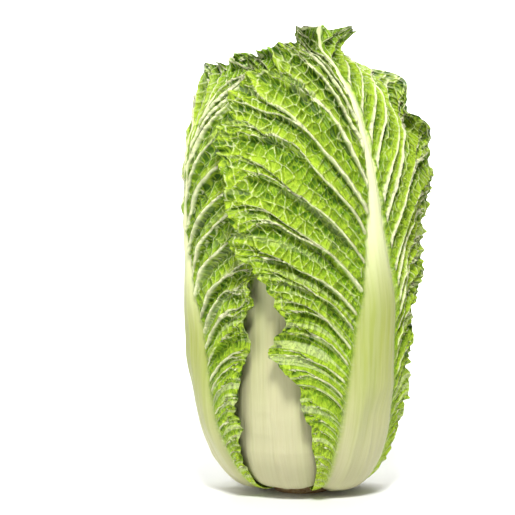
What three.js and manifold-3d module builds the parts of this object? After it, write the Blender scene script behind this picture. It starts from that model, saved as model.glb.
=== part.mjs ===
// A head of napa cabbage, standing on its trimmed stump: six wrapper leaves with broad pale ribs, packed round
// a dense heart whose crinkled leaf tops close over the crown.
// Millimetres, +Z up, the stump's cut face on z = 0. Azimuths are in degrees, 0 at the front (-Y) and growing
// towards +X. A place in the head is an azimuth, a distance p up the side profile, and a height h off it.
import * as THREE from "three";
import { mergeVertices } from "three/addons/utils/BufferGeometryUtils.js";
import Module from "manifold-3d";

const DEG = Math.PI / 180;

// The packed heart's side profile: distance along it, radius, height.
const PROFILE = [
  [-24, 21, 13.5], [-12, 31, 12.5], [0, 39.5, 15.5], [12, 46, 24], [24, 50, 34], [45, 54, 53], [70, 57, 76],
  [110, 57, 115], [150, 54, 154], [185, 51, 188], [210, 48.5, 212], [232, 44, 233], [252, 37, 252],
  [270, 29, 268], [288, 21, 284], [308, 13.5, 302], [332, 8, 325],
];
const LEAF_START = -24; // where every leaf leaves the stump
const WRAP_LIFT = 12; // a leaf's width is laid off this far outside the profile

// A leaf against f, its share of length from stump (0) to tip (1): half width, rib half width, rib thickness.
const REACH = [
  [0, 20], [0.035, 24], [0.07, 28.5], [0.13, 33], [0.2, 45], [0.27, 57], [0.37, 69], [0.45, 75], [0.55, 91], [0.64, 96],
  [0.75, 91], [0.85, 75], [0.925, 49], [0.97, 30], [1, 14],
];
const RIB_HALF = [
  [0, 15], [0.035, 19], [0.07, 23.5], [0.13, 26.5], [0.22, 25], [0.31, 22], [0.4, 18.5], [0.476, 15], [0.54, 11.7], [0.626, 6.5],
  [0.695, 3.6], [0.763, 2.6], [0.85, 2], [1, 1.4],
];
const RIB_THICK = [[0, 6.5], [0.07, 7], [0.22, 6.5], [0.4, 5.2], [0.54, 4.2], [0.626, 3.2], [0.7, 2.4], [0.85, 1.4], [1, 0.5]];
// Side veins climb as they leave the rib: b is where one starts on it, against f where it meets the margin.
const FAN = [
  [0, 0.01], [0.12, 0.15], [0.24, 0.3], [0.4, 0.52], [0.5, 0.67], [0.6, 0.8], [0.68, 0.88], [0.76, 0.935],
  [0.86, 0.965], [1, 0.985],
];
const LEAST_BLADE = 5;
const BLADE_THICK = 1.1;
const GAP = [[-24, 0.7], [60, 1.4], [130, 1.9], [260, 2], [310, 2.2]]; // air between a leaf and what it lies on
const VEIN_RIDGE = 3.8;
const VEIN_EVERY = 3; // rows of points from one vein to the next
const FRILL = 5; // how far the bare margin waves out
const FRILL_WIDTH = 14;
const COVERED_SHARE = 0.12; // how much of a ridge is left where other leaves press on it

// Wrapper leaves from the inside out. lean turns the upper rib. A flare lifts the margin on one side outwards
// round a distance p, and lets it sag.
const WRAPPERS = [
  { name: "leaf_front", azimuth: -13, lean: -7, tip: 288, reach: 0.98, seed: 3 },
  { name: "leaf_right_rear", azimuth: 106, lean: 4, tip: 288, reach: 0.98, seed: 5 },
  { name: "leaf_left_rear", azimuth: -143, lean: 8, tip: 285, reach: 0.98, seed: 7 },
  {
    name: "leaf_rear", azimuth: 168, lean: 6, tip: 292, reach: 1, seed: 11,
    flares: [{ side: -1, p: 256, spread: 18, lift: 12, sag: 9 }, { side: 1, p: 238, spread: 26, lift: 6, sag: 3 }],
  },
  {
    name: "leaf_left", azimuth: -81, lean: 6, tip: 289, reach: 0.92, seed: 13,
    flares: [{ side: -1, p: 250, spread: 20, lift: 7, sag: 5 }],
  },
  {
    name: "leaf_front_right", azimuth: 43, lean: -16, tip: 311, reach: 1, seed: 17,
    flares: [{ side: 1, p: 192, spread: 28, lift: 6, sag: 0 }, { side: 1, p: 240, spread: 14, lift: 15, sag: 12 }],
  },
];
// Inner leaf tops, rooted in the heart and closing over the crown, from the inside out.
const INNER = [
  { azimuth: 20, close: 9, tip: 290 }, { azimuth: 157, close: 8, tip: 292 }, { azimuth: 295, close: 7, tip: 292 },
  { azimuth: 72, close: 5, tip: 293 }, { azimuth: 210, close: 4, tip: 294 }, { azimuth: 340, close: 3, tip: 295 },
].map((leaf, i) => ({ lean: 0, reach: 0.8, seed: 23 + 4 * i, from: 0.6, ...leaf }));
const CLOSE_FROM = 205;
const CLOSE_OVER = 95;
const ROOT_SINK = 9;
const ROOT_ROWS = 0.12;

const CORE_HEIGHT = [[222, 0], [236, -3], [250, -9], [266, -20], [280, -33], [300, -60], [332, -90]];
const CORE_DOME = [[43, 232], [37, 242], [29, 249], [19, 254], [9, 257], [0, 257.5]];
const CORE_RELIEF = 0.7; // the core lies this far under the leaves' profile
const STUMP_RADIUS = 18.6;
const STUMP_TOP = 11;
const HEART_BOTTOM = 11.6;

// A smooth curve through points [x, y, ...], read in the given column and held at its ends.
function curve(points, x, column = 1) {
  const last = points.length - 1;
  if (x <= points[0][0]) return points[0][column];
  if (x >= points[last][0]) return points[last][column];
  let i = 0;
  while (x > points[i + 1][0]) i++;
  const slope = (k) => {
    const [before, after] = [points[Math.max(k - 1, 0)], points[Math.min(k + 1, last)]];
    return (after[column] - before[column]) / (after[0] - before[0]);
  };
  const width = points[i + 1][0] - points[i][0];
  const t = (x - points[i][0]) / width;
  const [y0, y1] = [points[i][column], points[i + 1][column]];
  const bend0 = slope(i) * width;
  const bend1 = slope(i + 1) * width;
  return y0 + t * (bend0 + t * (3 * (y1 - y0) - 2 * bend0 - bend1 + t * (2 * (y0 - y1) + bend0 + bend1)));
}

const clamp01 = (x) => Math.min(1, Math.max(0, x));
const smooth = (from, to, x) => {
  const t = clamp01((x - from) / (to - from));
  return t * t * (3 - 2 * t);
};
const turn = (degrees) => ((((degrees + 180) % 360) + 360) % 360) - 180;
const chance = (seed, n) => {
  const x = Math.sin(seed * 127.1 + n * 311.7) * 43758.5453;
  return x - Math.floor(x);
};

const radiusAt = (p) => curve(PROFILE, p, 1);
const degreesPerMm = (p) => 1 / ((radiusAt(p) + WRAP_LIFT) * DEG);

// The point at an azimuth, a distance up the profile and a height off it.
function place(azimuth, p, h) {
  const step = 2;
  const along = [radiusAt(p + step) - radiusAt(p - step), curve(PROFILE, p + step, 2) - curve(PROFILE, p - step, 2)];
  const length = Math.hypot(...along);
  const r = radiusAt(p) + (h * along[1]) / length;
  const z = curve(PROFILE, p, 2) - (h * along[0]) / length;
  return [r * Math.sin(azimuth * DEG), -r * Math.cos(azimuth * DEG), z];
}

// Leaf outline
const shareAt = (leaf, p) => clamp01((p - LEAF_START) / (leaf.tip - LEAF_START));
const midAzimuth = (leaf, p) => leaf.azimuth + leaf.lean * smooth(110, 230, p);

function halfWidth(leaf, side, f) {
  const lobes = 2.2 * Math.sin(31 * f + leaf.seed + side) + 1.4 * Math.sin(67 * f + 2 * leaf.seed - side);
  return curve(REACH, f) * leaf.reach + lobes * smooth(0.1, 0.3, f);
}

// Where the leaf's point at a share b up the rib lies, out by r across the rib and then q across the blade.
function leafPoint(leaf, side, b, r, q) {
  const span = leaf.tip - LEAF_START;
  const start = LEAF_START + b * span;
  const end = LEAF_START + curve(FAN, b) * span;
  const rib = curve(RIB_HALF, b);
  const wide = Math.max(halfWidth(leaf, side, curve(FAN, b)), rib + LEAST_BLADE);
  const p = start + (end - start) * (1 - (1 - q) ** 1.6);
  return { p, x: side * (r * rib + q * (wide - rib)) };
}

// Heights over the packed profile, kept on a grid of azimuth and p as the leaves are laid on.
const [COLUMNS, P_STEP, P_LOW] = [120, 4, -24];
const ROWS = 90;
const grid = new Float64Array(COLUMNS * ROWS);
const gridAzimuth = (i) => (i * 360) / COLUMNS - 180;
const gridP = (j) => P_LOW + j * P_STEP;

function fieldAt(field, azimuth, p) {
  const u = ((azimuth + 540) % 360) / (360 / COLUMNS);
  const v = Math.min(Math.max((p - P_LOW) / P_STEP, 0), ROWS - 1.001);
  const [i, j] = [Math.floor(u), Math.floor(v)];
  const [s, t] = [u - i, v - j];
  const read = (a, b) => field[(a % COLUMNS) * ROWS + b];
  return (
    (read(i, j) * (1 - s) + read(i + 1, j) * s) * (1 - t) + (read(i, j + 1) * (1 - s) + read(i + 1, j + 1) * s) * t
  );
}

// Combines each cell with its neighbours up to REACH_CELLS away along one direction of the grid.
const REACH_CELLS = 3;
function spread(field, alongAzimuth, combine) {
  const out = new Float64Array(field.length);
  for (let i = 0; i < COLUMNS; i++)
    for (let j = 0; j < ROWS; j++) {
      const seen = [];
      for (let k = -REACH_CELLS; k <= REACH_CELLS; k++) {
        const a = alongAzimuth ? (i + k + COLUMNS) % COLUMNS : i;
        const b = alongAzimuth ? j : Math.min(Math.max(j + k, 0), ROWS - 1);
        seen.push(field[a * ROWS + b]);
      }
      out[i * ROWS + j] = combine(seen);
    }
  return out;
}

// A smooth surface that nowhere lies under the field.
function envelope(field) {
  const highest = (seen) => Math.max(...seen);
  const mean = (seen) => seen.reduce((a, b) => a + b) / seen.length;
  return spread(spread(spread(spread(field, true, highest), false, highest), true, mean), false, mean);
}

// Laying a leaf
const smoothMax = (a, b) => 0.5 * (a + b + Math.sqrt((a - b) ** 2 + 4));

function closingHeight(leaf, p) {
  return -(leaf.close ?? 0) * Math.max(0, (p - CLOSE_FROM) / CLOSE_OVER) ** 2;
}

// How far a leaf's flares lift it at a place, and how far they let it sag.
function flareAt(leaf, x, p, q) {
  let [lift, sag] = [0, 0];
  for (const flare of leaf.flares ?? []) {
    if (flare.side * x <= 0) continue;
    const share = smooth(0.3, 1, q) * Math.exp(-(((p - flare.p) / flare.spread) ** 2));
    lift += flare.lift * share;
    sag += flare.sag * share ** 2;
  }
  return { lift, sag };
}

// How bare a place is of the leaves that lie over this one: 1 in the open, 0 well under them.
function bareness(azimuth, p, above) {
  let bare = 1;
  for (const leaf of above.filter(({ name }) => name)) {
    const x = turn(azimuth - midAzimuth(leaf, p)) / degreesPerMm(p);
    const inside = Math.min(halfWidth(leaf, Math.sign(x) || 1, shareAt(leaf, p)) - Math.abs(x), leaf.tip - p);
    bare *= 1 - smooth(-6, 3, inside);
  }
  return bare;
}

function thickness(leaf, x, f) {
  const across = Math.abs(x) / curve(RIB_HALF, f);
  return BLADE_THICK + (across < 1 ? curve(RIB_THICK, f) * (1 - across ** 3) ** 0.8 : 0);
}

const frillAt = (toMargin, bare, f) =>
  FRILL * Math.exp(-((Math.max(toMargin, 0) / FRILL_WIDTH) ** 1.3)) * bare * smooth(0.1, 0.26, f);
const ridgeAt = (q, f) => VEIN_RIDGE * (1 - 0.6 * q) * smooth(0.06, 0.16, f) * smooth(1, 0.9, f);

// How a leaf lies at a place x off its middle: the height of its underside, and what stands on that.
function makeLayer(leaf, field, above) {
  const under = envelope(field);
  return (azimuth, p, x) => {
    const f = shareAt(leaf, p);
    const [rib, wide] = [curve(RIB_HALF, f), halfWidth(leaf, Math.sign(x) || 1, f)];
    const q = clamp01((Math.abs(x) - rib) / (wide - rib));
    const floor = fieldAt(under, azimuth, p) + curve(GAP, p);
    const { lift, sag } = flareAt(leaf, x, p, q);
    const bare = bareness(azimuth, p, above);
    return {
      bottom: smoothMax(floor, closingHeight(leaf, p)) + lift,
      sag,
      thick: thickness(leaf, x, f),
      frill: frillAt(wide - Math.abs(x), bare, f),
      ridge: q > 0 ? ridgeAt(q, f) * (COVERED_SHARE + (1 - COVERED_SHARE) * bare) : 0,
    };
  };
}

// Raises the field to the top of the leaf just laid.
function raiseField(field, leaf, layer) {
  for (let i = 0; i < COLUMNS; i++)
    for (let j = 0; j < ROWS; j++) {
      const [azimuth, p] = [gridAzimuth(i), gridP(j)];
      const x = turn(azimuth - midAzimuth(leaf, p)) / degreesPerMm(p);
      const f = shareAt(leaf, p);
      const wide = halfWidth(leaf, Math.sign(x) || 1, f);
      if (Math.abs(x) > wide + 3 || p > leaf.tip + P_STEP || f < (leaf.from ?? 0)) continue;
      const { bottom, thick, frill, ridge } = layer(azimuth, p, x);
      field[i * ROWS + j] = Math.max(field[i * ROWS + j], bottom + thick + frill + ridge);
    }
}

// Leaf solids
const acrossLeaf = (ribSteps, bladeSteps) => {
  const half = [...ribSteps.map((r) => ({ r, q: 0 })), ...bladeSteps.map((q) => ({ r: 1, q }))];
  const sided = (side) => half.map((place) => ({ side, ...place }));
  return [...sided(-1).reverse(), { side: 1, r: 0, q: 0 }, ...sided(1)];
};
const WRAPPER_ACROSS = acrossLeaf([0.5, 0.9], [0.16, 0.4, 0.62, 0.82, 1]);
const WRAPPER_ROWS = 31;
const INNER_ACROSS = acrossLeaf([1], [0.35, 0.7, 1]);
const INNER_ROWS = 8;

// A closed solid between two grids of points, rows by columns, with its rim joined.
function sheetSolid(outer, inner) {
  const [rows, columns] = [outer.length, outer[0].length];
  const vertices = [...outer.flat(), ...inner.flat()];
  const at = (i, j) => i * columns + j;
  const back = rows * columns;
  const faces = [];
  for (let i = 0; i + 1 < rows; i++)
    for (let j = 0; j + 1 < columns; j++) {
      const [a, b, c, d] = [at(i, j), at(i, j + 1), at(i + 1, j + 1), at(i + 1, j)];
      const halves = (i + j) % 2 ? [[a, b, c], [a, c, d]] : [[a, b, d], [b, c, d]];
      for (const [u, v, w] of halves) faces.push([u, v, w], [back + u, back + w, back + v]);
    }
  const rim = [];
  for (let j = 0; j + 1 < columns; j++) rim.push([at(0, j), at(0, j + 1)]);
  for (let i = 0; i + 1 < rows; i++) rim.push([at(i, columns - 1), at(i + 1, columns - 1)]);
  for (let j = columns - 1; j > 0; j--) rim.push([at(rows - 1, j), at(rows - 1, j - 1)]);
  for (let i = rows - 1; i > 0; i--) rim.push([at(i, 0), at(i - 1, 0)]);
  for (const [u, v] of rim) faces.push([v, u, back + v], [u, back + u, back + v]);
  const geometry = new THREE.BufferGeometry();
  geometry.setAttribute("position", new THREE.Float32BufferAttribute(vertices.flat(), 3));
  geometry.setIndex(faces.flat());
  return geometry;
}

function leafSolid(leaf, layer, rowCount, across) {
  const [outer, inner] = [[], []];
  const from = leaf.from ?? 0;
  for (let i = 0; i <= rowCount; i++) {
    const b = from + (1 - from) * (i / rowCount) ** 1.12;
    const wave = 0.55 + 0.45 * chance(leaf.seed, i);
    const [outerRow, innerRow] = [[], []];
    for (const { side, r, q } of across) {
      const { p, x } = leafPoint(leaf, side, b, r, q);
      const azimuth = midAzimuth(leaf, p) + x * degreesPerMm(p);
      const { bottom, sag, thick, frill, ridge } = layer(azimuth, p, x);
      const sink = leaf.from ? ROOT_SINK * (1 - smooth(from, from + ROOT_ROWS, b)) : 0;
      const isVein = (i + (side > 0 ? 1 : 0)) % VEIN_EVERY === 1;
      const lift = bottom - sink + frill * (isVein ? wave : 0.12);
      outerRow.push(place(azimuth, p - sag, lift + thick + (isVein ? ridge : 0)));
      innerRow.push(place(azimuth, p - sag, lift));
    }
    outer.push(outerRow);
    inner.push(innerRow);
  }
  return sheetSolid(outer, inner);
}

// Joining
const wasm = await Module();
wasm.setup();

function solidOf(geometry) {
  const bare = geometry.index ? geometry.toNonIndexed() : geometry.clone();
  bare.deleteAttribute("normal");
  bare.deleteAttribute("uv");
  const merged = mergeVertices(bare, 1e-3);
  const triVerts = new Uint32Array(merged.index.array);
  return new wasm.Manifold(new wasm.Mesh({ numProp: 3, vertProperties: merged.attributes.position.array, triVerts }));
}

function geometryOf(solid) {
  const { vertProperties, triVerts } = solid.getMesh();
  const geometry = new THREE.BufferGeometry();
  geometry.setAttribute("position", new THREE.BufferAttribute(new Float32Array(vertProperties), 3));
  geometry.setIndex(new THREE.BufferAttribute(new Uint32Array(triVerts), 1));
  return geometry;
}

// Heart core
function coreGeometry() {
  const outline = [[0, HEART_BOTTOM], [STUMP_RADIUS, HEART_BOTTOM]];
  for (const p of [-18, -8, 4, 16, 32, 52, 80, 120, 160, 195, 222]) {
    const [, y, z] = place(0, p, -CORE_RELIEF);
    outline.push([-y, z]);
  }
  outline.push(...CORE_DOME);
  const turned = new THREE.LatheGeometry(outline.map(([r, z]) => new THREE.Vector2(r, z)), 24);
  return turned.rotateX(Math.PI / 2);
}

// Stump: a trimmed disc, slightly narrower at its cut face.
function stumpGeometry() {
  const outline = [[0, 0], [STUMP_RADIUS - 1.2, 0], [STUMP_RADIUS, 1.4], [STUMP_RADIUS - 0.6, STUMP_TOP], [0, STUMP_TOP]];
  const turned = new THREE.LatheGeometry(outline.map(([r, z]) => new THREE.Vector2(r, z)), 32);
  return turned.rotateX(Math.PI / 2);
}

// Assembly
const GREEN = new THREE.Color(0.42, 0.6, 0.16);
const PALE_GREEN = new THREE.Color(0.78, 0.83, 0.5);
const CUT_BROWN = new THREE.Color(0.76, 0.6, 0.4);
const finish = (color) => new THREE.MeshStandardMaterial({ color, roughness: 0.5, metalness: 0 });

const head = new THREE.Group();
function add(name, geometry, color) {
  const mesh = new THREE.Mesh(geometry, finish(color));
  mesh.name = name;
  head.add(mesh);
}

for (let i = 0; i < COLUMNS; i++) for (let j = 0; j < ROWS; j++) grid[i * ROWS + j] = curve(CORE_HEIGHT, gridP(j));

const everyLeaf = [...INNER, ...WRAPPERS];
let heart = solidOf(coreGeometry());
everyLeaf.forEach((leaf, i) => {
  const layer = makeLayer(leaf, grid, everyLeaf.slice(i + 1));
  if (leaf.name) add(leaf.name, leafSolid(leaf, layer, WRAPPER_ROWS, WRAPPER_ACROSS), GREEN);
  else heart = heart.add(solidOf(leafSolid(leaf, layer, INNER_ROWS, INNER_ACROSS)));
  raiseField(grid, leaf, layer);
});
add("heart", geometryOf(heart), PALE_GREEN);
add("stump", stumpGeometry(), CUT_BROWN);

export default head;
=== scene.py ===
import math
import bpy
import numpy as np
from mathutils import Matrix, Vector, kdtree


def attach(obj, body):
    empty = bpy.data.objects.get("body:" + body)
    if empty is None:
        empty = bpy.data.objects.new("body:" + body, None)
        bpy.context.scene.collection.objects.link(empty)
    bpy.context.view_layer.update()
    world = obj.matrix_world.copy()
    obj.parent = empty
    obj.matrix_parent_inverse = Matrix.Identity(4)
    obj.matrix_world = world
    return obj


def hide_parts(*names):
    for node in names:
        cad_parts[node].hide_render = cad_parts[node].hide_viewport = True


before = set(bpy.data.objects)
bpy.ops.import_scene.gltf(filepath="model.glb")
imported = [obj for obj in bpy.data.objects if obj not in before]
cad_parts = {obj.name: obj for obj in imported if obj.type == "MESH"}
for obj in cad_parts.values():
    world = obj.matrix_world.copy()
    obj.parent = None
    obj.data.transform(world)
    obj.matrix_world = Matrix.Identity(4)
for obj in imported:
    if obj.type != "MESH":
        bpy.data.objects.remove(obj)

DEG = math.pi / 180
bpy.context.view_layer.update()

# Shape of the head
PROFILE = [
    [-24, 21, 13.5], [-12, 31, 12.5], [0, 39.5, 15.5], [12, 46, 24], [24, 50, 34], [45, 53.8, 53],
    [70, 56, 76], [110, 56.8, 115], [150, 55.6, 154], [185, 54, 188], [210, 51.6, 212], [232, 46, 233],
    [252, 38.5, 251], [270, 29, 266], [288, 19, 280.5], [308, 12, 298], [332, 7, 320],
]
LEAF_START = -24
WRAP_LIFT = 12
REACH = [
    [0, 19], [0.035, 24], [0.07, 30], [0.13, 36], [0.2, 46], [0.27, 57], [0.37, 69], [0.45, 75], [0.55, 91],
    [0.64, 96], [0.75, 91], [0.85, 75], [0.925, 49], [0.97, 30], [1, 14],
]
RIB_HALF = [
    [0, 15], [0.035, 19], [0.07, 23.5], [0.13, 26.5], [0.22, 25], [0.31, 22], [0.4, 17.5], [0.476, 13],
    [0.54, 9], [0.626, 5], [0.695, 3.2], [0.763, 2.4], [0.85, 1.8], [1, 1.2],
]
RIB_THICK = [
    [0, 6.5], [0.07, 7], [0.22, 6.5], [0.4, 5.2], [0.54, 4.2], [0.626, 3.2], [0.7, 2.4], [0.85, 1.4],
    [1, 0.5],
]
FAN = [
    [0, 0.01], [0.12, 0.15], [0.24, 0.3], [0.4, 0.52], [0.5, 0.67], [0.6, 0.8], [0.68, 0.88], [0.76, 0.935],
    [0.86, 0.965], [1, 0.985],
]
FAN_BEND = 2.1
LEAST_BLADE = 5
BLADE_THICK = 1.1
EDGE_THICK = 0.7
GAP = [[-24, 0.7], [60, 1.6], [130, 2.3], [230, 2.3], [270, 1.6], [310, 1.6]]
CORE_HEIGHT = [[222, 0], [236, -3], [250, -9], [266, -20], [280, -33], [300, -60], [332, -90]]
CORE_DOME = [[43, 232], [37, 243], [29, 252], [19, 259], [9, 263], [0, 264]]
CORE_INSET = 0.7
CLOSE_FROM = 205
CLOSE_OVER = 95
ROOT_SINK = 9
ROOT_ROWS = 0.12
STUMP_RADIUS = 18.6
STUMP_TOP = 11
HEART_BOTTOM = 11.6

# Surface detail of a leaf
VEIN_STEP = [[0.08, 0.017], [0.2, 0.021], [0.3, 0.028], [0.42, 0.04], [0.55, 0.05], [0.8, 0.058], [1, 0.06]]
VEIN_SIZE = [[0, 0.4], [0.2, 0.46], [0.35, 0.68], [0.5, 0.92], [0.65, 1], [0.85, 0.7], [1, 0.5]]
VEIN_ENDS = (0.07, 0.97)  # how far up the rib the first and last side veins start
VEIN_HALF = (2.1, 0.9, 0.45)  # half width at the rib, near it and at the margin
VEIN_RISE = 1.2  # height of a vein against its half width
STEP_SPREAD = (0.75, 1.25)  # chance in the steps and sizes of the veins, and in where they fork
SIZE_SPREAD = (0.6, 1.25)
FORK_SPREAD = (0.2, 0.6)
TWIG_SPREAD = (0.6, 0.85)
WANDER = (0.5, 0.16)  # long and short bends of a vein, and its branches, against the step between veins
FORK, TWIG = 0.26, 0.12
PLEAT_DEPTH = 7  # the blade falls back from each vein up to the next one, and rises steeply just below it
PLEAT_SHARE = 0.52  # a pleat is no deeper than this share of the gap between its veins
PLEAT_TURN = 0.84  # share of the way up to the next vein where the blade lies deepest
PLEAT_LIFT = 0.55  # share of its depth by which a pleat stands out at a vein
WIDEST_GAP = 60  # a wider gap has no vein on its other side, and no pleat
RIB_DENSITY = 0.45  # columns of the mesh on the rib, against those on the blade
CELL_LONG = 9  # length of a blister from one vein towards the next
CELL_WIDE = 4.3  # its width along the vein
CELL_DEPTH = 1.5
CELL_EDGE = 1.7  # distance from its edge over which it reaches its depth
NET_HALF = 0.6  # half width and height of the small veins between blisters
NET_RISE = 0.5
SWELL = 2.2
CRUMPLE = (0.8, 3)  # on the blade and at the margin
GROWN = (0.22, 0.45)  # pleats and blisters grow to full size between these shares of a leaf's length
LOBES = ((2.4, 31), (1.8, 67))  # height and rate of the long and short lobes of a margin
TEETH = ((4, 50), (2.4, 130))  # the same for its teeth
FRILL = 5.6
FRILL_WIDTHS = (14, 7, 3)  # how far in from a bare margin its long, short and shortest waves reach
FRILL_WAVES = (10, 4, 2)  # lengths of these waves along the margin
FRILL_SHARES = (1, 0.8, 0.4)  # and their heights against FRILL
FRILL_SLIDE = 3.2  # how far the waves move the margin along the leaf
FAR = 4  # distance from a vein or net line at which the material sees neither
COVERED_SHARE = 0.12  # share of its relief that a leaf has where others cover it

# Share of its full reach that one half of a leaf has, against its length
FRONT_RIGHT_LEFT = [
    [0, 1.1], [0.13, 1.12], [0.2, 1.08], [0.3, 1.02], [0.37, 1.06], [0.42, 0.93], [0.47, 0.99], [0.53, 0.94],
    [0.62, 0.92], [0.74, 0.88], [0.83, 0.84], [0.91, 0.62], [0.96, 0.68], [1, 1.1],
]
FRONT_RIGHT_RIGHT = [
    [0, 1], [0.2, 0.94], [0.35, 0.7], [0.5, 0.62], [0.62, 0.67], [0.72, 0.72], [0.8, 0.9], [0.9, 1.08],
    [0.95, 1.25], [1, 1.6],
]
LEFT_RIGHT = [
    [0, 1.25], [0.12, 1.25], [0.2, 1.1], [0.27, 1.02], [0.377, 0.92], [0.48, 0.87], [0.55, 0.78],
    [0.65, 0.8], [0.85, 0.95], [1, 1],
]

# Wrapper leaves from the inside out. lean turns the upper rib, tip is the distance p of the leaf's end, and
# reach, rib and rib_thick are shares of the tables above. A flare lifts one half's margin round its p and
# lets it down by sag, a puff lifts the whole leaf, and a curl rolls a side margin outwards. From flat_from on
# the tip opens flat. green says how fast the rib turns green upwards.
WRAPPERS = [
    dict(piece="front_leaf", node="leaf_front", azimuth=-19, lean=-3, tip=288, reach=1.08, seed=3,
         rows=250, columns=150, rib=1.4, rib_thick=0.6, green=0.4),
    dict(piece="right_rear_leaf", node="leaf_right_rear", azimuth=106, lean=4, tip=278, reach=0.98, seed=5,
         rows=260, columns=168),
    dict(piece="left_rear_leaf", node="leaf_left_rear", azimuth=-143, lean=8, tip=274, reach=0.98, seed=7,
         rows=260, columns=168),
    dict(piece="rear_leaf", node="leaf_rear", azimuth=168, lean=6, tip=288, reach=1, seed=11,
         rows=320, columns=190, flares=[dict(side=-1, p=250, spread=20, lift=3, sag=4),
                                        dict(side=1, p=238, spread=26, lift=6, sag=3)]),
    dict(piece="left_leaf", node="leaf_left", azimuth=-81, lean=6, tip=273, reach=0.92, seed=13,
         rows=350, columns=200, reach_right=LEFT_RIGHT, frill_right=0.6,
         flares=[dict(side=-1, p=244, spread=20, lift=4, sag=6)],
         puff=[[-24, 0], [0, 0], [20, 1.6], [40, 4.2], [63, 4.8], [90, 3.7], [120, 4.3], [150, 5], [240, 2],
               [280, 0], [332, 0]]),
    dict(piece="front_right_leaf", node="leaf_front_right", azimuth=46, lean=-9, tip=312, reach=1, seed=17,
         rows=380, columns=204, reach_left=FRONT_RIGHT_LEFT, reach_right=FRONT_RIGHT_RIGHT,
         teeth_right=0.5, frill_right=0.6, flat_from=284,
         flares=[dict(side=1, p=200, spread=24, lift=10.3, sag=0)],
         curls=[dict(side=1, p=240, spread=17, width=23, radius=6, turn=175)]),
]
# Inner leaves from the middle out. close is how far a leaf folds in towards the head's axis.
HOODS = 2  # the first ones, which fold in over the middle of the heart
INNER = [
    dict(azimuth=160, close=26, tip=300),
    dict(azimuth=335, close=24, tip=298),
    dict(azimuth=20, close=9, tip=305),
    dict(azimuth=157, close=9, tip=296),
    dict(azimuth=295, close=9, tip=282),
    dict(azimuth=72, close=5, tip=292),
    dict(azimuth=210, close=7, tip=282),
    dict(azimuth=320, close=6, tip=280),
]
for i, leaf in enumerate(INNER):
    leaf.update(piece=f"heart_leaf_{i + 1}", node="heart", lean=0, reach=0.8, seed=15 + 4 * i, start=0.6,
                rows=80, columns=96)
    if i < HOODS:
        leaf.update(rows=48, columns=56, start=0.84)


# Numbers
def curve(points, x, column=1):
    table = np.asarray(points, float)
    xs, ys = table[:, 0], table[:, column]
    before = np.maximum(np.arange(len(xs)) - 1, 0)
    after = np.minimum(np.arange(len(xs)) + 1, len(xs) - 1)
    slopes = (ys[after] - ys[before]) / (xs[after] - xs[before])
    x = np.clip(x, xs[0], xs[-1])
    i = np.clip(np.searchsorted(xs, x, side="right") - 1, 0, len(xs) - 2)
    width = xs[i + 1] - xs[i]
    t = (x - xs[i]) / width
    rise = ys[i + 1] - ys[i]
    bend0, bend1 = slopes[i] * width, slopes[i + 1] * width
    return ys[i] + t * (bend0 + t * (3 * rise - 2 * bend0 - bend1 + t * (bend0 + bend1 - 2 * rise)))


def smooth(start, end, x):
    t = np.clip((x - start) / (end - start), 0, 1)
    return t * t * (3 - 2 * t)


def mix(a, b, share):
    return a + (b - a) * share


def chance(n, seed):
    x = np.sin(n * 127.1 + seed * 311.7) * 43758.5453
    return x - np.floor(x)


def noise(x, seed):
    """Smooth noise along a line, from 0 to 1, one wave about every two steps."""
    i = np.floor(x)
    return mix(chance(i, seed), chance(i + 1, seed), smooth(0, 1, x - i))


def noise2(x, y, seed):
    """The same over a plane."""
    j = np.floor(y)
    low, high = (noise(x + 37.3 * k, seed + 0.37 * k) for k in (j, j + 1))
    return mix(low, high, smooth(0, 1, y - j))


def rounded_max(a, b):
    """The larger of two heights, rounded over where they cross."""
    return 0.5 * (a + b + np.sqrt((a - b) ** 2 + 4))


def turn(degrees):
    return (degrees + 180) % 360 - 180


# Places on the head and on a leaf
def degrees_per_mm(p):
    return 1 / ((curve(PROFILE, p) + WRAP_LIFT) * DEG)


def place(azimuth, p, h):
    step = 2
    dr = curve(PROFILE, p + step) - curve(PROFILE, p - step)
    dz = curve(PROFILE, p + step, 2) - curve(PROFILE, p - step, 2)
    length = np.hypot(dr, dz)
    r = curve(PROFILE, p) + h * dz / length
    z = curve(PROFILE, p, 2) - h * dr / length
    return np.stack([r * np.sin(azimuth * DEG), -r * np.cos(azimuth * DEG), z], axis=-1)


def share_at(leaf, p):
    return np.clip((p - LEAF_START) / (leaf["tip"] - LEAF_START), 0, 1)


def mid_azimuth(leaf, p):
    return leaf["azimuth"] + leaf["lean"] * smooth(110, 230, p)


def half_width(leaf, side, f, teeth=0):
    seed = leaf["seed"]
    (high, slow), (low, fast) = LOBES
    lobes = high * np.sin(slow * f + seed + side) + low * np.sin(fast * f + 2 * seed - side)
    (high, slow), (low, fast) = TEETH
    jagged = high * (noise(slow * f, seed + side) - 0.6) + low * (noise(fast * f, seed + 3 * side) - 0.5)
    left, right = (curve(leaf.get(key, [[0, 1], [1, 1]]), f) for key in ("reach_left", "reach_right"))
    whole = curve(REACH, f) * leaf["reach"] * np.where(side < 0, left, right)
    jagged = jagged * np.where(side < 0, 1, leaf.get("teeth_right", 1))
    return whole + (lobes + teeth * jagged) * smooth(0.1, 0.3, f)


def rib_start(leaf, b):
    return LEAF_START + b * (leaf["tip"] - LEAF_START)


def along_vein(leaf, b, q):
    """Distance p of the point a share q of the way along the side vein that starts at b."""
    start = rib_start(leaf, b)
    return start + (rib_start(leaf, curve(FAN, b)) - start) * (1 - (1 - q) ** FAN_BEND)


# Heights over the profile, in cells round the head and along it
COLUMNS, ROWS, P_STEP = 240, 180, 2
SPREAD_CELLS = 4


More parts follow.
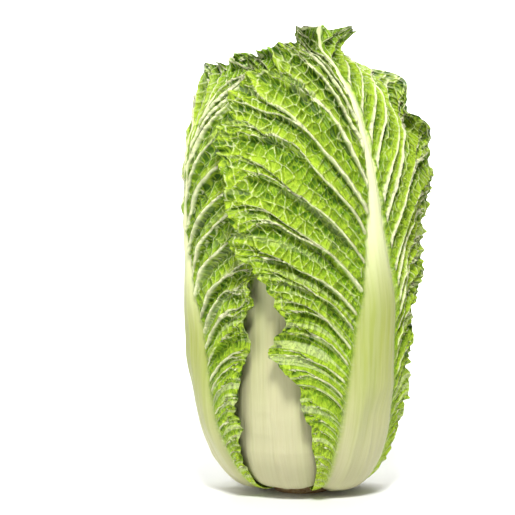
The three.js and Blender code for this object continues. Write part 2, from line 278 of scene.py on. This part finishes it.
def field_at(field, azimuth, p):
    u = ((azimuth + 540) % 360) / (360 / COLUMNS)
    v = np.clip((p - LEAF_START) / P_STEP, 0, ROWS - 1.001)
    i, j = np.floor(u).astype(int), np.floor(v).astype(int)
    s, t = u - i, v - j
    i, k = i % COLUMNS, (i + 1) % COLUMNS
    return mix(mix(field[i, j], field[k, j], s), mix(field[i, j + 1], field[k, j + 1], s), t)


def neighbours(field, axis):
    if axis == 0:
        return [np.roll(field, k, axis=0) for k in range(-SPREAD_CELLS, SPREAD_CELLS + 1)]
    padded = np.pad(field, ((0, 0), (SPREAD_CELLS, SPREAD_CELLS)), mode="edge")
    return [padded[:, k:k + ROWS] for k in range(2 * SPREAD_CELLS + 1)]


def envelope(field):
    """Heights spread sideways and evened out, as the next leaf bridges what it lies on."""
    for axis in (0, 1):
        field = np.max(neighbours(field, axis), axis=0)
    for axis in (0, 1):
        field = np.mean(neighbours(field, axis), axis=0)
    return field


def raise_field(field, azimuth, p, h):
    i = np.round((azimuth + 540) % 360 / (360 / COLUMNS)).astype(int) % COLUMNS
    j = np.clip(np.round((p - LEAF_START) / P_STEP).astype(int), 0, ROWS - 1)
    np.maximum.at(field, (i, j), h)


def bareness(azimuth, p, above):
    """1 where a leaf lies in the open, 0 well under the leaves above it."""
    bare = np.ones_like(p)
    for leaf in above:
        x = turn(azimuth - mid_azimuth(leaf, p)) / degrees_per_mm(p)
        inside = np.minimum(half_width(leaf, np.sign(x), share_at(leaf, p)) - np.abs(x), leaf["tip"] - p)
        bare = bare * (1 - smooth(-6, 3, inside))
    return bare


# Side veins of one half of a leaf
class Veins:
    def __init__(self, leaf, side):
        random = np.random.default_rng(leaf["seed"] * 2 + (side > 0))
        places = [VEIN_ENDS[0]]
        while places[-1] < VEIN_ENDS[1]:
            places.append(places[-1] + float(curve(VEIN_STEP, places[-1])) * random.uniform(*STEP_SPREAD))
        self.leaf = leaf
        self.side = side
        self.places = np.array(places)
        self.steps = curve(VEIN_STEP, self.places)
        self.forks = random.uniform(*FORK_SPREAD, len(places))
        self.forks_again = random.uniform(*TWIG_SPREAD, len(places))
        self.sizes = random.uniform(*SIZE_SPREAD, len(places)) * curve(VEIN_SIZE, self.places)
        self.random = random

    def lines(self, q):
        """Place and size of every vein and branch, a share q of the way out to the margin."""
        for k, at in enumerate(self.places):
            wander = WANDER[0] * (noise(4 * q + 9 * k, self.leaf["seed"]) - 0.5)
            wander = wander + WANDER[1] * (noise(15 * q + 9 * k, 5) - 0.5)
            fork = FORK * smooth(self.forks[k], 1.1, q)
            twig = TWIG * smooth(self.forks_again[k], 1.05, q)
            for branch in (-fork - twig, -fork + twig, fork - twig, fork + twig):
                yield at + (wander * q + branch) * self.steps[k], self.sizes[k]

    def between(self, b, q):
        """Distances in b down and up to the closest veins, and the size of the closer one."""
        down, up = np.full_like(b, 9.0), np.full_like(b, 9.0)
        size = np.ones_like(b)
        for at, thick in self.lines(q):
            away = b - at
            size = np.where(np.abs(away) < np.minimum(down, up), thick, size)
            down = np.where(away >= 0, np.minimum(down, away), down)
            up = np.where(away < 0, np.minimum(up, -away), up)
        return down, up, size

    def cells(self):
        """Middles of the blisters between the veins, as x and p."""
        found = []
        for low, high in zip(self.places[:-1], self.places[1:]):
            b = (low + high) / 2
            rib = float(curve(RIB_HALF, b))
            wide = max(float(half_width(self.leaf, self.side, curve(FAN, b))), rib + LEAST_BLADE)
            steps = max(2, round(1.25 * (wide - rib) / CELL_WIDE))
            for n in range(-1, steps + 1):
                q = (n + 0.5) / steps
                apart = abs(along_vein(self.leaf, high, q) - along_vein(self.leaf, low, q))
                lanes = int(np.clip(round(0.85 * apart / CELL_LONG), 1, 3))
                for lane in range(lanes):
                    at = (lane + 0.5 + self.random.uniform(-0.16, 0.16)) / lanes
                    along = q + (self.random.uniform(-0.26, 0.26) + 0.5 * (lane % 2)) / steps
                    along = min(max(along, 0), 1.05)
                    seed_b = mix(low, high, at)
                    x = self.side * (rib + along * (wide - rib))
                    found.append((x, float(along_vein(self.leaf, seed_b, min(along, 1)))))
        return found


def cell_edges(leaf, halves, x, p):
    """Distance to the nearest edge between blisters, and a chance number for each blister."""
    middles = [middle for veins in halves for middle in veins.cells()]
    tree = kdtree.KDTree(len(middles))
    for i, (cx, cp) in enumerate(middles):
        tree.insert((cx, cp, 0), i)
    tree.balance()
    nearest = np.empty((x.size, 4))
    for n, point in enumerate(zip(x.ravel().tolist(), p.ravel().tolist())):
        (_, i, near), (_, j, far) = tree.find_n((point[0], point[1], 0), 2)
        nearest[n] = i, j, near, far
    first, second = nearest[:, 0].astype(int), nearest[:, 1].astype(int)
    places = np.array(middles)
    apart = np.maximum(np.linalg.norm(places[first] - places[second], axis=1), 0.5)
    edge = (nearest[:, 3] ** 2 - nearest[:, 2] ** 2) / (2 * apart)
    return edge.reshape(x.shape), chance(first.astype(float), leaf["seed"]).reshape(x.shape)


# One leaf
def flare_at(leaf, x, p, q):
    lift, sag = np.zeros_like(p), np.zeros_like(p)
    for flare in leaf.get("flares", ()):
        share = np.exp(-(((p - flare["p"]) / flare["spread"]) ** 2)) * (flare["side"] * x > 0)
        share = share * smooth(0.3, 1, q)
        lift = lift + flare["lift"] * share
        sag = sag + flare["sag"] * share**2
    return lift, sag


def curl_share(leaf, side, p):
    curls = leaf.get("curls", ())
    shares = [np.exp(-(((p - curl["p"]) / curl["spread"]) ** 2)) * (side == curl["side"]) for curl in curls]
    return shares, sum(shares, np.zeros_like(p))


def curled(leaf, side, x, p, to_side, base, h):
    """Place across the leaf and height of a point, where the side margin curls outwards."""
    for curl, share in zip(leaf.get("curls", ()), curl_share(leaf, side, p)[0]):
        radius = curl["radius"] / np.maximum(share, 1e-3)
        past = np.maximum(curl["width"] - to_side, 0)
        arc = np.minimum(past, curl["radius"] * curl["turn"] * DEG)
        angle = arc / radius
        hanging = past - arc
        inwards = radius - (h - base)
        x = x + side * (inwards * np.sin(angle) + hanging * np.cos(angle) - past)
        h = np.where(past > 0, base + radius - inwards * np.cos(angle) + hanging * np.sin(angle), h)
    return x, h


def lay_leaf(leaf, field, above):
    """Points of a leaf's outer and inner face, and what its material reads at them.

    It also raises the field of heights, for the leaves above.
    """
    seed = leaf["seed"]
    start = leaf.get("start", 0)
    finely = np.linspace(start, 1, 400)
    evened = 0.5 * finely + curve(FAN, finely)
    b = np.interp(np.linspace(evened[0], evened[-1], leaf["rows"] + 1), evened, finely)
    b, s = np.meshgrid(b, np.linspace(-1, 1, leaf["columns"] + 1), indexing="ij")
    side = np.where(s < 0, -1.0, 1.0)
    rib = curve(RIB_HALF, b) * leaf.get("rib", 1)
    wide = np.maximum(half_width(leaf, side, curve(FAN, b), teeth=1), rib + LEAST_BLADE)
    rib_columns = RIB_DENSITY * rib / (RIB_DENSITY * rib + wide - rib)
    q = (np.abs(s) - rib_columns) / (1 - rib_columns)
    x = side * np.where(q < 0, rib * np.abs(s) / rib_columns, mix(rib, wide, q))
    q = np.clip(q, 0, 1)
    p = along_vein(leaf, b, q)
    azimuth = mid_azimuth(leaf, p) + x * degrees_per_mm(p)
    f = share_at(leaf, p)
    across = np.abs(x) / (curve(RIB_HALF, f) * leaf.get("rib", 1))
    blade = smooth(0.9, 1.25, across)
    to_side = (1 - q) * (wide - rib)
    to_margin = np.minimum(to_side, (1 - b) * 0.8 * (leaf["tip"] - LEAF_START))
    bare = bareness(azimuth, p, above)
    shown = mix(COVERED_SHARE, 1, bare) * smooth(0.05, 0.15, f)

    # Veins and blisters
    dx_b, dx_s = np.gradient(x)
    dp_b, dp_s = np.gradient(p)
    mm_per_b = np.abs(dx_b * dp_s - dp_b * dx_s) / np.maximum(np.hypot(dx_s, dp_s), 1e-6)
    mm_per_b = mm_per_b / np.gradient(b, axis=0)
    halves = [Veins(leaf, -1), Veins(leaf, 1)]
    down, up, size = np.where(side < 0, halves[0].between(b, q), halves[1].between(b, q))
    away = np.minimum(down, up) * mm_per_b
    half = size * (mix(VEIN_HALF[1], VEIN_HALF[2], q) + (VEIN_HALF[0] - VEIN_HALF[1]) * np.exp(-q / 0.1))
    vein = np.exp(-((away / half) ** 2)) * blade
    gap = (down + up) * mm_per_b
    rise = down / (down + up)
    fold = rise / PLEAT_TURN * (1 - smooth(PLEAT_TURN, 1, rise)) * (gap < WIDEST_GAP)
    outside = smooth(0.72, 1, q)
    pleat = np.minimum(PLEAT_SHARE * gap, PLEAT_DEPTH) * smooth(0.02, 0.25, q) * (1 - 0.8 * outside) * blade
    grown = smooth(GROWN[0], GROWN[1], f)
    pleat = pleat * mix(0.5, 1.2, noise2(b * 15, q * 4.5, seed + 3)) * mix(0.45, 1, grown)
    edge, luck = cell_edges(leaf, halves, x, p)
    net = np.exp(-((edge / NET_HALF) ** 2)) * blade * (1 - vein) * grown
    pocket = (1 - np.exp(-((edge / CELL_EDGE) ** 2))) * smooth(0.3, 3, away) * blade
    depth = np.where(luck < 0.72, -mix(0.5, 1, luck / 0.72), mix(0.2, 0.7, (luck - 0.72) / 0.28))
    blister = CELL_DEPTH * depth * pocket * mix(0.3, 1, grown)
    stripes = 0.32 * (noise(across * 4 + 20 * (side > 0), seed) - 0.5)
    stripes = stripes + 0.08 * (noise(across * 11, seed + side) - 0.5)
    ribbed = stripes * (1 - blade) * curve(RIB_HALF, f) / 6
    grains = noise2(x / 2.4, p / 2.4, seed + 7)
    crumple = mix(CRUMPLE[0], CRUMPLE[1], np.exp(-to_margin / 8)) * (grains - 0.4)
    swell = SWELL * noise2(x / 16, p / 22, seed) + crumple
    detail = swell * blade + blister + pleat * (PLEAT_LIFT - fold)

    # Waves of the bare margin
    along = curve(FAN, b) * (leaf["tip"] - LEAF_START) + 0.6 * np.abs(x) * smooth(0.8, 1, b)
    key = seed + 50 * side
    near = np.exp(-((to_margin / FRILL_WIDTHS[0]) ** 1.3))
    closer = np.exp(-((to_margin / FRILL_WIDTHS[1]) ** 1.2))
    closest = np.exp(-to_margin / FRILL_WIDTHS[2])
    frilled = bare * smooth(0.1, 0.26, f) * (1 - 0.4 * curl_share(leaf, side, p)[1])
    frilled = frilled * np.where(side > 0, leaf.get("frill_right", 1), 1)
    waves = FRILL_SHARES[0] * near * noise(along / FRILL_WAVES[0], key)
    waves = waves + FRILL_SHARES[1] * closer * noise(along / FRILL_WAVES[1], key + 1)
    waves = waves + FRILL_SHARES[2] * closest * noise(along / FRILL_WAVES[2], key + 2)
    slide = near * (noise(along / 10 + 0.7, key + 3) - 0.5)
    slide = slide + 0.6 * closer * (noise(along / 4.4 + 0.7, key + 4) - 0.5)

    # Heights
    floor = field_at(envelope(field), azimuth, p) + curve(GAP, p)
    closing = -leaf.get("close", 0) * np.maximum(0, (p - CLOSE_FROM) / CLOSE_OVER) ** 2
    lift, sag = flare_at(leaf, x, p, q)
    lift = lift + curve(leaf.get("puff", [[0, 0], [1, 0]]), p) * mix(1, 0.1, q)
    sink = ROOT_SINK * (1 - smooth(start, start + ROOT_ROWS, b)) if start else 0
    base = rounded_max(floor, closing) + lift - sink
    inner = base + FRILL * waves * frilled + detail * shown
    thick = mix(EDGE_THICK, BLADE_THICK, smooth(0, 6, to_margin))
    rib_thick = curve(RIB_THICK, f) * leaf.get("rib_thick", 1)
    thick = thick + np.where(across < 1, rib_thick * np.maximum(1 - across**2.5, 0), 0)
    outer = inner + thick + ribbed + (VEIN_RISE * half * vein * (1 - 0.6 * outside) + NET_RISE * net) * shown
    raise_field(field, azimuth, p, outer)
    p_shown = p - sag + FRILL_SLIDE * slide * frilled
    # Painted shadow: a dark line just below each vein, where the pleat's steep wall stands in shade.
    below_vein = (up * mm_per_b - 1.8 * half) / (1.5 * half)
    painted_crease_shadow = np.exp(-(below_vein**2)) * smooth(0.12, 0.5, noise2(b * 21, q * 5, seed + 9))
    # Painted shade: the colour darkens in sunk blisters, in the fold below each vein and in the crumpled
    # hollows near a bare margin.
    painted_hollow_shade = 0.8 * pocket * np.clip(-depth, 0, 1) * grown
    painted_hollow_shade = painted_hollow_shade + 0.7 * fold * smooth(0.02, 0.25, q) * mix(0.3, 1, f)
    painted_hollow_shade = painted_hollow_shade + 0.9 * np.exp(-to_margin / 7) * (1 - smooth(0.25, 0.55, grains)) * bare
    # Painted highlight: the blade just above each vein, which faces up towards the light, is coloured
    # lighter.
    painted_fold_highlight = (1 - smooth(0.12, 0.6, rise)) * (gap < WIDEST_GAP) * smooth(0.02, 0.15, q) * mix(0.4, 1, f)
    reads = dict(
        rib=1 - smooth(0.86, 1.16, across),
        vein_away=np.minimum(away / half + 0.4 * outside, FAR) * blade + FAR * (1 - blade),
        net_away=np.minimum(edge, FAR) * blade * grown + FAR * (1 - blade * grown),
        painted_crease_shadow=painted_crease_shadow * blade * smooth(0, 0.15, q) * mix(0.35, 1, f),
        margin=np.exp(-to_margin / 9),
        painted_hollow_shade=np.clip(painted_hollow_shade, 0, 1) * blade,
        painted_fold_highlight=painted_fold_highlight * blade,
        along=f,
        green=f * leaf.get("green", 1),
    )
    faces = []
    opened = smooth(0, 25, p - leaf.get("flat_from", 400))
    for height in (outer, inner):
        x_curled, h_curled = curled(leaf, side, x, p, to_side, base, height)
        angle = x_curled * degrees_per_mm(p) * DEG
        lifted = opened * (np.sqrt(1 + angle**2) - 1) / (degrees_per_mm(p) * DEG)
        turned_by = mix(angle, np.arctan(angle), opened) / DEG
        faces.append(place(mid_azimuth(leaf, p) + turned_by, p_shown, h_curled + lifted))
    fan = np.stack([side * q * (wide - rib), b * (leaf["tip"] - LEAF_START)], axis=-1)
    return faces[0], faces[1], reads, dict(flat=np.stack([x, p], axis=-1), fan=fan)


# Meshes
MM_PER_M = 1000
MM_PER_UV = 100


def new_mesh(name, points, triangles, attributes, maps):
    mesh = bpy.data.meshes.new(name)
    mesh.vertices.add(len(points))
    mesh.vertices.foreach_set("co", (points / MM_PER_M).astype(np.float32).ravel())
    mesh.loops.add(3 * len(triangles))
    mesh.loops.foreach_set("vertex_index", triangles.astype(np.int32).ravel())
    mesh.polygons.add(len(triangles))
    mesh.polygons.foreach_set("loop_start", np.arange(0, 3 * len(triangles), 3, dtype=np.int32))
    mesh.update(calc_edges=True)
    mesh.shade_smooth()
    for key, values in attributes.items():
        attribute = mesh.attributes.new(key, "FLOAT", "POINT")
        attribute.data.foreach_set("value", values.astype(np.float32).ravel())
    for key, places in maps.items():
        layer = mesh.uv_layers.new(name=key)
        layer.data.foreach_set("uv", (places[triangles.ravel()] / MM_PER_UV).astype(np.float32).ravel())
    piece = bpy.data.objects.new(name, mesh)
    bpy.context.scene.collection.objects.link(piece)
    return piece


def grid_triangles(rows, columns, offset=0):
    i, j = np.meshgrid(np.arange(rows), np.arange(columns), indexing="ij")
    a = offset + i * (columns + 1) + j
    b, c, d = a + 1, a + columns + 2, a + columns + 1
    odd = ((i + j) % 2 == 1)[..., None]
    first = np.where(odd, np.stack([a, b, c], -1), np.stack([a, b, d], -1))
    second = np.where(odd, np.stack([a, c, d], -1), np.stack([b, c, d], -1))
    return np.concatenate([first.reshape(-1, 3), second.reshape(-1, 3)])


def rim(rows, columns, offset=0):
    def at(i, j):
        return offset + i * (columns + 1) + j

    loop = [at(0, j) for j in range(columns)] + [at(i, columns) for i in range(rows)]
    loop += [at(rows, j) for j in range(columns, 0, -1)] + [at(i, 0) for i in range(rows, 0, -1)]
    return np.array(loop)


def halved(grid):
    return grid[::2, ::2]


def leaf_piece(leaf, field, above, material):
    outer, inner, reads, maps = lay_leaf(leaf, field, above)
    rows, columns = leaf["rows"], leaf["columns"]
    count = outer.shape[0] * outer.shape[1]
    back = grid_triangles(rows // 2, columns // 2, count)[:, ::-1]
    out, low = rim(rows, columns), rim(rows // 2, columns // 2, count)
    o0, o1, o2 = out[0::2], out[1::2], np.roll(out, -2)[0::2]
    i0, i1 = low, np.roll(low, -1)
    edge = np.concatenate([np.stack(t, -1) for t in ((o1, o0, i0), (o1, i0, i1), (o2, o1, i1))])
    triangles = np.concatenate([grid_triangles(rows, columns), back, edge])
    points = np.concatenate([outer.reshape(-1, 3), halved(inner).reshape(-1, 3)])
    attributes = {key: np.concatenate([a.ravel(), halved(a).ravel()]) for key, a in reads.items()}
    attributes["inside"] = np.concatenate([np.zeros(count), np.ones(len(points) - count)])
    maps = {key: np.concatenate([a.reshape(-1, 2), halved(a).reshape(-1, 2)]) for key, a in maps.items()}
    piece = new_mesh(leaf["piece"], points, triangles, attributes, maps)
    piece.data.materials.append(material)
    return piece


SEGMENTS = 96


def turned(name, outline, wobble, material, reads):
    """A closed form turned about the head's axis from an outline of radius and height."""
    outline = np.array(outline, float)
    angles = np.linspace(0, 2 * math.pi, SEGMENTS, endpoint=False)
    points = []
    for k, (r, z) in enumerate(outline):
        reach = r + wobble * (noise(angles * 6, 3 + k) - 0.5) * min(1, r / 10)
        points.append(np.stack([reach * np.sin(angles), -reach * np.cos(angles), np.full(SEGMENTS, z)], -1))
    points = np.concatenate(points)
    triangles = []
    for k in range(len(outline) - 1):
        for n in range(SEGMENTS):
            a, b = k * SEGMENTS + n, k * SEGMENTS + (n + 1) % SEGMENTS
            c, d = b + SEGMENTS, a + SEGMENTS
            triangles += [(a, b, c), (a, c, d)]
    flat = np.stack([points[:, 0] + points[:, 1], points[:, 2]], -1)
    attributes = {key: np.full(len(points), value) for key, value in reads.items()}
    piece = new_mesh(name, points, np.array(triangles), attributes, dict(flat=flat, fan=flat))
    piece.data.materials.append(material)
    return piece


# Materials, with colours in linear red, green and blue
BAND_GREEN = (0.3, 0.38, 0.07)
STREAK_WHITE = (0.68, 0.69, 0.44)


class Nodes:
    """Short calls for building one material's nodes."""

    def __init__(self, name):
        self.material = bpy.data.materials.new(name)
        self.material.use_nodes = True
        self.tree = self.material.node_tree
        self.shader = next(n for n in self.tree.nodes if n.type == "BSDF_PRINCIPLED")

    def new(self, kind, **settings):
        node = self.tree.nodes.new(kind)
        for key, value in settings.items():
            setattr(node, key, value)
        return node

    def put(self, socket, value):
        if isinstance(value, bpy.types.NodeSocket):
            self.tree.links.new(value, socket)
        elif isinstance(value, tuple):
            socket.default_value = (*value, 1.0)[:len(socket.default_value)]
        else:
            socket.default_value = value

    def attribute(self, name):
        return self.new("ShaderNodeAttribute", attribute_name=name).outputs["Fac"]

    def math(self, operation, a, b=0.0, clamp=False):
        node = self.new("ShaderNodeMath", operation=operation, use_clamp=clamp)
        self.put(node.inputs[0], a)
        self.put(node.inputs[1], b)
        return node.outputs[0]

    def span(self, value, low, high, to_low=0.0, to_high=1.0):
        node = self.new("ShaderNodeMapRange", interpolation_type="SMOOTHSTEP")
        settings = {"Value": value, "From Min": low, "From Max": high, "To Min": to_low, "To Max": to_high}
        for key, number in settings.items():
            self.put(node.inputs[key], number)
        return node.outputs["Result"]

    def blend(self, share, a, b, mode="MIX"):
        node = self.new("ShaderNodeMix", data_type="RGBA", blend_type=mode)
        self.put(node.inputs["Factor"], share)
        self.put(node.inputs[6], a)
        self.put(node.inputs[7], b)
        return node.outputs[2]

    def flat(self, stretch_x=1.0, stretch_p=1.0, uv_map="flat"):
        """Place on the flattened leaf, or along and across its side veins, in decimetres, stretched."""
        uv = self.new("ShaderNodeUVMap", uv_map=uv_map)
        node = self.new("ShaderNodeMapping")
        node.inputs["Scale"].default_value = (stretch_x, stretch_p, 1)
        self.tree.links.new(uv.outputs[0], node.inputs["Vector"])
        return node.outputs[0]

    def noise(self, vector, scale, detail=3.0, rough=0.55):
        node = self.new("ShaderNodeTexNoise")
        self.put(node.inputs["Vector"], vector)
        node.inputs["Scale"].default_value = scale
        node.inputs["Detail"].default_value = detail
        node.inputs["Roughness"].default_value = rough
        return node.outputs["Fac"]

    def cracks(self, vector, scale):
        node = self.new("ShaderNodeTexVoronoi", feature="DISTANCE_TO_EDGE")
        self.put(node.inputs["Vector"], vector)
        node.inputs["Scale"].default_value = scale
        return node.outputs["Distance"]

    def bump(self, height, distance, strength=1.0, normal=None):
        node = self.new("ShaderNodeBump")
        self.put(node.inputs["Height"], height)
        node.inputs["Distance"].default_value = distance
        node.inputs["Strength"].default_value = strength
        if normal:
            self.put(node.inputs["Normal"], normal)
        return node.outputs[0]


def leaf_material(name, dark, mid, light, inside, tip, rib_low, rib_high, vein_colour):
    n = Nodes(name)
    # colour of the painted shadow just below each vein
    painted_shadow_green = tuple(0.6 * channel for channel in dark)
    rib = n.attribute("rib")
    vein = n.span(n.attribute("vein_away"), 0.45, 1.2, 1.0, 0.0)
    net = n.span(n.attribute("net_away"), 0.05, 0.5, 1.0, 0.0)
    patches = n.span(n.noise(n.flat(), 5.0), 0.3, 0.7)
    mottle = n.span(n.noise(n.flat(), 26.0, 4.0), 0.35, 0.65)
    twigs = n.cracks(n.flat(34.0, 26.0, "fan"), 1.0)
    twig = n.span(twigs, 0.0, 0.1, 1.0, 0.0)
    blade = n.blend(patches, mid, n.blend(0.5, mid, dark))
    blade = n.blend(n.math("MULTIPLY", mottle, 0.4), blade, light)
    # painted highlight just above each vein
    blade = n.blend(n.math("MULTIPLY", n.attribute("painted_fold_highlight"), 0.6), blade, light)
    blade = n.blend(n.math("MULTIPLY", n.attribute("margin"), 0.5), blade, light)
    blade = n.blend(n.math("MULTIPLY", n.attribute("inside"), 0.8), blade, inside)
    blade = n.blend(n.span(n.attribute("along"), 0.92, 1.0, 0.0, 0.6), blade, tip)
    # painted shade in the blisters, folds and crumples
    blade = n.blend(n.math("MULTIPLY", n.attribute("painted_hollow_shade"), 0.9), blade, dark)
    # painted shadow just below each vein
    blade = n.blend(n.math("MULTIPLY", n.attribute("painted_crease_shadow"), 0.95), blade, painted_shadow_green)
    blade = n.blend(n.span(n.attribute("along"), 0.04, 0.22, 0.6, 0.0), blade, light)
    blade = n.blend(n.math("MULTIPLY", twig, 0.38), blade, light)
    net = n.math("MULTIPLY", net, n.span(n.attribute("along"), 0.25, 0.5, 0.1, 0.5))
    blade = n.blend(net, blade, vein_colour)
    threads = n.span(n.noise(n.flat(1.6, 32.0, "fan"), 1.0, 2.0), 0.52, 0.6)
    threads = n.math("MULTIPLY", threads, n.span(n.attribute("along"), 0.3, 0.6, 0.34, 0.1))
    blade = n.blend(threads, blade, vein_colour)
    blade = n.blend(n.math("MULTIPLY", vein, 0.95), blade, vein_colour)
    streaks = n.span(n.noise(n.flat(14.0, 0.5), 3.0, 5.0), 0.3, 0.7)
    bands = n.span(n.noise(n.flat(8.0, 0.3), 1.0, 1.0), 0.35, 0.65)
    white = n.blend(n.span(n.attribute("green"), 0.03, 0.4), rib_low, rib_high)
    bands = n.math("MULTIPLY", bands, n.span(n.attribute("green"), 0.05, 0.35, 0.1, 0.3))
    white = n.blend(bands, white, BAND_GREEN)
    white = n.blend(n.math("MULTIPLY", streaks, 0.2), white, STREAK_WHITE)
    white = n.blend(n.span(n.attribute("along"), 0.4, 0.62, 0.0, 0.8), white, vein_colour)
    n.put(n.shader.inputs["Base Color"], n.blend(rib, blade, white))
    smoothness = n.math("ADD", rib, n.math("MULTIPLY", mottle, 0.3))
    n.put(n.shader.inputs["Roughness"], n.span(smoothness, 0.0, 1.2, 0.5, 0.4))
    relief = n.math("ADD", n.span(n.attribute("vein_away"), 0.0, 1.5, 1.1, 0.0),
                    n.span(n.attribute("net_away"), 0.0, 1.6, 0.9, 0.0))
    grain = n.math("ADD", n.span(twigs, 0.0, 0.3, 0.35, 0.0), n.noise(n.flat(), 60.0, 4.0))
    relief = n.math("ADD", relief, n.math("ADD", grain, n.math("MULTIPLY", threads, 0.8)))
    leafy = n.bump(n.math("MULTIPLY", relief, n.math("SUBTRACT", 1.0, rib)), 0.0015, 1.0)
    n.put(n.shader.inputs["Normal"], n.bump(n.math("MULTIPLY", streaks, rib), 0.0003, 0.6, leafy))
    n.shader.inputs["Specular IOR Level"].default_value = 0.18
    n.shader.inputs["Subsurface Weight"].default_value = 0.08
    n.shader.inputs["Subsurface Radius"].default_value = (0.6, 1.0, 0.3)
    n.shader.inputs["Subsurface Scale"].default_value = 0.001
    return n.material


def stump_material():
    n = Nodes("cut_stem")
    fibres = n.noise(n.flat(1.0, 1.0), 40.0, 6.0, 0.65)
    cork = n.blend(n.span(fibres, 0.3, 0.7), (0.36, 0.19, 0.07), (0.6, 0.44, 0.24))
    n.put(n.shader.inputs["Base Color"], cork)
    n.put(n.shader.inputs["Roughness"], n.span(fibres, 0.2, 0.8, 0.7, 0.9))
    n.put(n.shader.inputs["Normal"], n.bump(fibres, 0.0006, 0.8))
    return n.material


WRAPPER_LEAF = leaf_material(
    "wrapper_leaf", dark=(0.012, 0.075, 0.001), mid=(0.21, 0.42, 0.005), light=(0.56, 0.76, 0.045),
    inside=(0.035, 0.14, 0.002), tip=(0.19, 0.49, 0.005), rib_low=(0.54, 0.51, 0.31),
    rib_high=(0.36, 0.4, 0.09), vein_colour=(0.89, 0.92, 0.55),
)
HEART_LEAF = leaf_material(
    "heart_leaf", dark=(0.16, 0.34, 0.01), mid=(0.4, 0.57, 0.04), light=(0.62, 0.72, 0.11),
    inside=(0.22, 0.4, 0.02), tip=(0.3, 0.5, 0.03), rib_low=(0.68, 0.68, 0.4), rib_high=(0.66, 0.72, 0.3),
    vein_colour=(0.72, 0.78, 0.3),
)


# Stage: floor that sweeps up into a wall, soft lights, camera
FLOOR_HALF = 5000
FLOOR_BACK = 2300
SWEEP_RADIUS = 900
WALL_TOP = 4000
AIM = (0, 0, 0.15)  # the lights' target, in metres


def backdrop():
    sweep = np.linspace(0.15, math.pi / 2, 10)
    run = [(-FLOOR_HALF, 0), (FLOOR_BACK, 0)]
    run += [(FLOOR_BACK + SWEEP_RADIUS * math.sin(a), SWEEP_RADIUS * (1 - math.cos(a))) for a in sweep]
    run += [(FLOOR_BACK + SWEEP_RADIUS, WALL_TOP)]
    points = np.array([(x, y, z) for y, z in run for x in (-FLOOR_HALF, FLOOR_HALF)], float)
    triangles = []
    for k in range(len(run) - 1):
        a = 2 * k
        triangles += [(a, a + 1, a + 3), (a, a + 3, a + 2)]
    piece = new_mesh("backdrop", points, np.array(triangles), {}, {})
    n = Nodes("backdrop")
    n.shader.inputs["Base Color"].default_value = (0.88, 0.88, 0.88, 1)
    n.shader.inputs["Roughness"].default_value = 0.9
    piece.data.materials.append(n.material)


def area_light(name, at, towards, size, power):
    light = bpy.data.lights.new(name, "AREA")
    light.shape = "DISK"
    light.size = size
    light.energy = power
    lamp = bpy.data.objects.new(name, light)
    lamp.location = at
    lamp.rotation_euler = (Vector(towards) - Vector(at)).to_track_quat("-Z", "Y").to_euler()
    bpy.context.scene.collection.objects.link(lamp)


def camera():
    middle = Vector((-0.029, 0, 0.1525))
    distance, elevation, view_width = 1.6, 5 * DEG, 0.3355
    data = bpy.data.cameras.new("camera")
    data.sensor_width = 36
    data.lens = 36 * distance / view_width
    eye = bpy.data.objects.new("camera", data)
    eye.location = middle + distance * Vector((0, -math.cos(elevation), math.sin(elevation)))
    eye.rotation_euler = (middle - eye.location).to_track_quat("-Z", "Y").to_euler()
    bpy.context.scene.collection.objects.link(eye)
    bpy.context.scene.camera = eye


camera()
backdrop()
area_light("key", (0.0, -1.0, 1.3), AIM, size=0.35, power=27)
area_light("fill", (-0.9, -1.0, 0.5), AIM, size=0.8, power=3.5)
area_light("top", (0.0, 0.1, 1.5), AIM, size=0.6, power=3)
area_light("wall", (0, 1.9, 2.4), (0, 3.2, 0.3), size=2.0, power=150)
bpy.context.scene.view_settings.view_transform = "Standard"
world = bpy.context.scene.world or bpy.data.worlds.new("studio")
bpy.context.scene.world = world
world.use_nodes = True
world.node_tree.nodes["Background"].inputs["Color"].default_value = (1, 1, 1, 1)
world.node_tree.nodes["Background"].inputs["Strength"].default_value = 0.16


# The head
def finish(piece, node):
    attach(piece, "root")
    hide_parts(node)


core_outline = [(0, HEART_BOTTOM), (STUMP_RADIUS, HEART_BOTTOM)]
for p in np.linspace(-18, 222, 60):
    core_outline.append((float(curve(PROFILE, p)) - CORE_INSET, float(curve(PROFILE, p, 2))))
# The core's colour is painted half in shade, so that it reads as depth between the leaves.
core_reads = dict(vein_away=FAR, net_away=FAR, painted_hollow_shade=0.5, along=0.3)
core = turned("heart_core", core_outline + CORE_DOME, 0.8, HEART_LEAF, core_reads)
finish(core, "heart")

stump_outline = [(0, 0), (9, 0), (STUMP_RADIUS - 1.2, 0), (STUMP_RADIUS, 1.4)]
stump_outline += [(STUMP_RADIUS - 0.6, STUMP_TOP), (0, STUMP_TOP)]
stump = turned("cut_stump", stump_outline, 0.7, stump_material(), {})
finish(stump, "stump")

field = np.tile(curve(CORE_HEIGHT, LEAF_START + P_STEP * np.arange(ROWS)), (COLUMNS, 1))
for leaf in INNER:
    finish(leaf_piece(leaf, field, WRAPPERS, HEART_LEAF), "heart")
for i, leaf in enumerate(WRAPPERS):
    finish(leaf_piece(leaf, field, WRAPPERS[i + 1:], WRAPPER_LEAF), leaf["node"])
